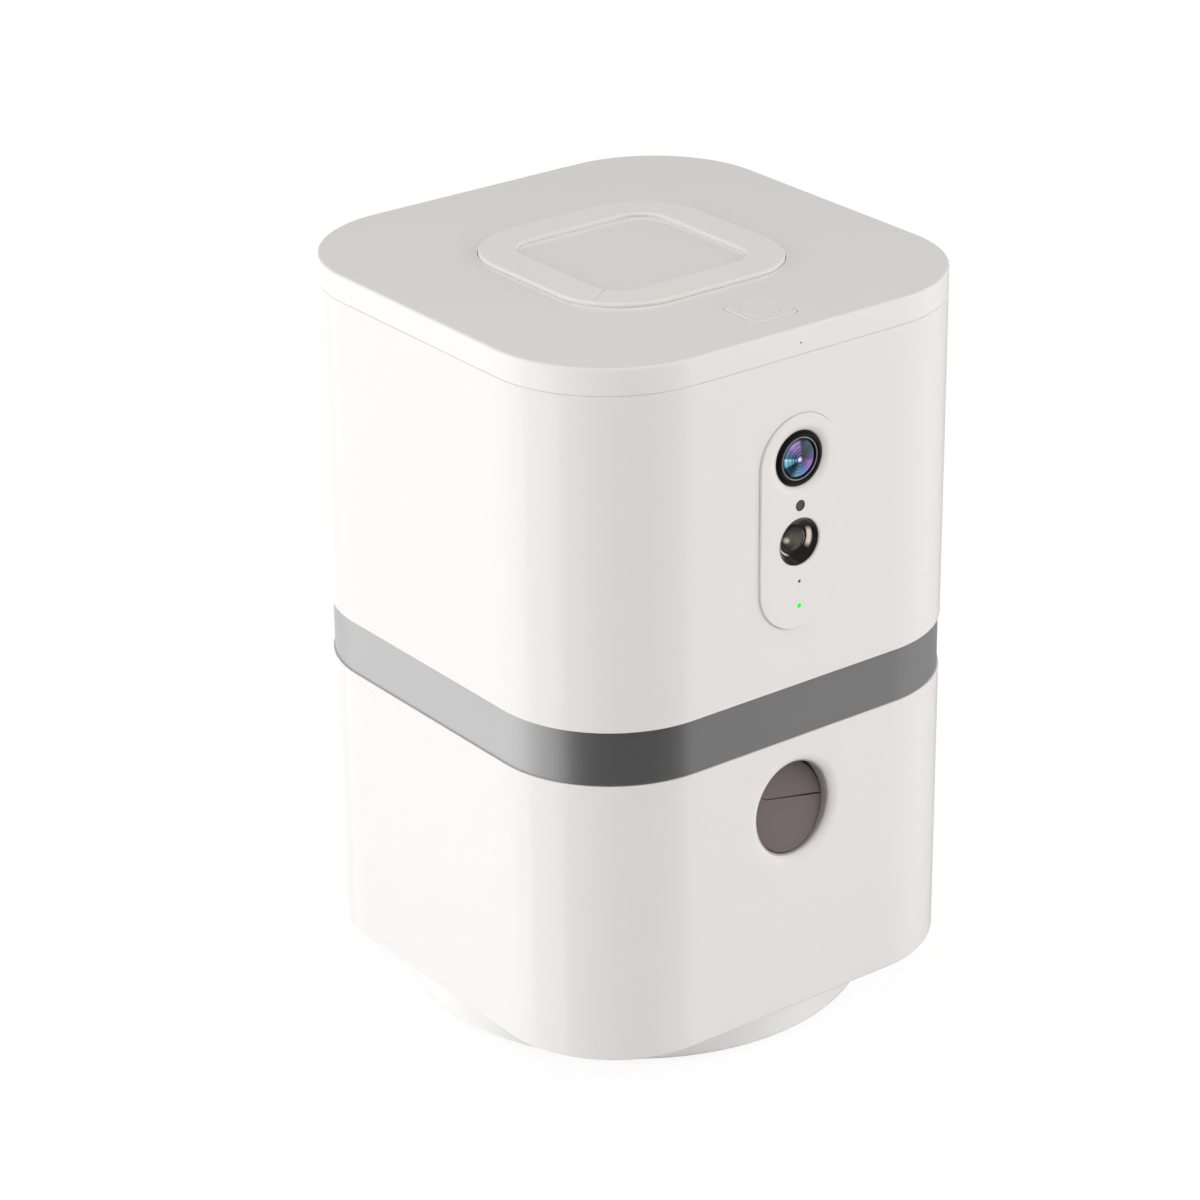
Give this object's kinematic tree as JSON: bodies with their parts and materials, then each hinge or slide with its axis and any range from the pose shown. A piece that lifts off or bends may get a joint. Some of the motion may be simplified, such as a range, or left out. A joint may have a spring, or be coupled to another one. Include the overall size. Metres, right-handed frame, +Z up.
{
  "type": "treat tossing pet camera",
  "caption": "Table-top pet camera that pans on a round base, stores treats under a lift-off lid and flicks them out of an oval outlet.",
  "frame": {"origin": "centre of the foot ring's underside, on the surface that the camera stands on", "axes": "+Z up, the camera and the treat outlet face -Y, +X to the right seen from the front"},
  "size_m": [0.15, 0.1519, 0.2275],
  "materials": {
    "housing_gloss": "glossy moulded ABS",
    "ring_soft": "soft-touch over-moulding",
    "band_grey": "satin grey ABS",
    "base_white": "glossy moulded ABS",
    "inner_grey": "textured dark grey ABS",
    "tube_grey": "semi-gloss dark ABS",
    "black_gloss": "glossy black ABS",
    "bright_trim": "polished",
    "lens_coated": "coated optical glass",
    "clear_lens": "clear polycarbonate",
    "status_green": "clear green light pipe",
    "rubber_dark": "matte",
    "seal_silicone": "silicone",
    "steel": "zinc plated",
    "motor_metal": "drawn steel can",
    "gear_nylon": "natural nylon",
    "board_green": "solder mask",
    "chip_black": "moulded epoxy",
    "hopper_clear": "food-safe polypropylene",
    "spring_steel": "music wire"
  },
  "bodies": {
    "base": {"base_tray": "base_white", "foot_ring": "rubber_dark", "base_weight": "steel", "base_screws": "steel", "glide_ring": "gear_nylon", "sun_gear": "gear_nylon", "post_screw": "steel"},
    "housing": {"floor_plate": "base_white", "pan_bush": "gear_nylon", "lower_shell": "housing_gloss", "housing_screws": "steel", "band": "band_grey", "upper_shell": "housing_gloss", "top_cover": "housing_gloss", "tact_switch": "chip_black", "button_board": "board_green", "camera_panel": "housing_gloss", "lens_bezel": "black_gloss", "lens_trim": "bright_trim", "lens_glass": "lens_coated", "lens_barrel": "chip_black", "light_sensor": "black_gloss", "lamp_bezel": "black_gloss", "lamp_reflector": "bright_trim", "lamp_dome": "clear_lens", "lamp_emitter": "clear_lens", "status_light": "status_green", "panel_mic": "steel", "camera_board": "board_green", "hopper": "hopper_clear", "pocket_guard": "hopper_clear", "wheel_motor": "motor_metal", "drop_chute": "tube_grey", "launch_tube": "tube_grey", "flap_pin": "steel", "arm_shaft": "steel", "launch_frame": "inner_grey", "launch_motor": "motor_metal", "pan_bracket": "inner_grey", "pan_motor": "motor_metal", "main_board": "board_green", "board_chips": "chip_black", "power_inlet": "chip_black", "speaker_grille": "housing_gloss", "speaker": "chip_black"},
    "fill_lid": {"fill_lid": "housing_gloss", "grip_ring": "ring_soft", "lid_seal": "seal_silicone"},
    "set_button": {"set_button": "housing_gloss"},
    "treat_wheel": {"treat_wheel": "gear_nylon", "wheel_shaft": "steel", "agitator": "gear_nylon"},
    "launch_arm": {"launch_arm": "tube_grey", "arm_sector": "gear_nylon", "launch_spring": "spring_steel"},
    "crank_gear": {"crank_gear": "gear_nylon"},
    "pan_pinion": {"pan_pinion": "gear_nylon"},
    "outlet_flap": {"outlet_flap": "tube_grey"}
  },
  "joints": [
    {"name": "pan", "type": "hinge", "parent": "base", "child": "housing", "pos_m": [0, 0, 0], "axis": [0, 0, 1], "range_deg": [-90, 90]},
    {"name": "lid_lift", "type": "slide", "parent": "housing", "child": "fill_lid", "axis": [0, 0, 1], "range_m": [0, 0.08]},
    {"name": "button_press", "type": "slide", "parent": "housing", "child": "set_button", "axis": [0, 0, -1], "range_m": [0, 0.0008], "stiffness_N_per_m": 900},
    {"name": "wheel_turn", "type": "hinge", "parent": "housing", "child": "treat_wheel", "pos_m": [0, 0, 0.1284], "axis": [0, 0, 1], "continuous": true},
    {"name": "arm_cock", "type": "hinge", "parent": "housing", "child": "launch_arm", "pos_m": [0, -0.067, 0.04], "axis": [-1, 0, 0], "range_deg": [0, 36], "stiffness_Nm_per_rad": 0.04, "springref_deg": -20.05},
    {"name": "crank_turn", "type": "hinge", "parent": "housing", "child": "crank_gear", "pos_m": [0, -0.037, 0.04], "axis": [1, 0, 0], "range_deg": [0, 72]},
    {"name": "pinion_turn", "type": "hinge", "parent": "housing", "child": "pan_pinion", "pos_m": [0.02121, 0.02121, 0.0184], "axis": [0, 0, 1], "range_deg": [-360, 360]},
    {"name": "flap_swing", "type": "hinge", "parent": "housing", "child": "outlet_flap", "pos_m": [0, -0.0687, 0.0934], "axis": [-1, 0, 0], "range_deg": [0, 24]}
  ],
  "couplings": [
    {"joint": "crank_turn", "follows": "arm_cock", "ratio": 2},
    {"joint": "pinion_turn", "follows": "pan", "ratio": 4}
  ]
}
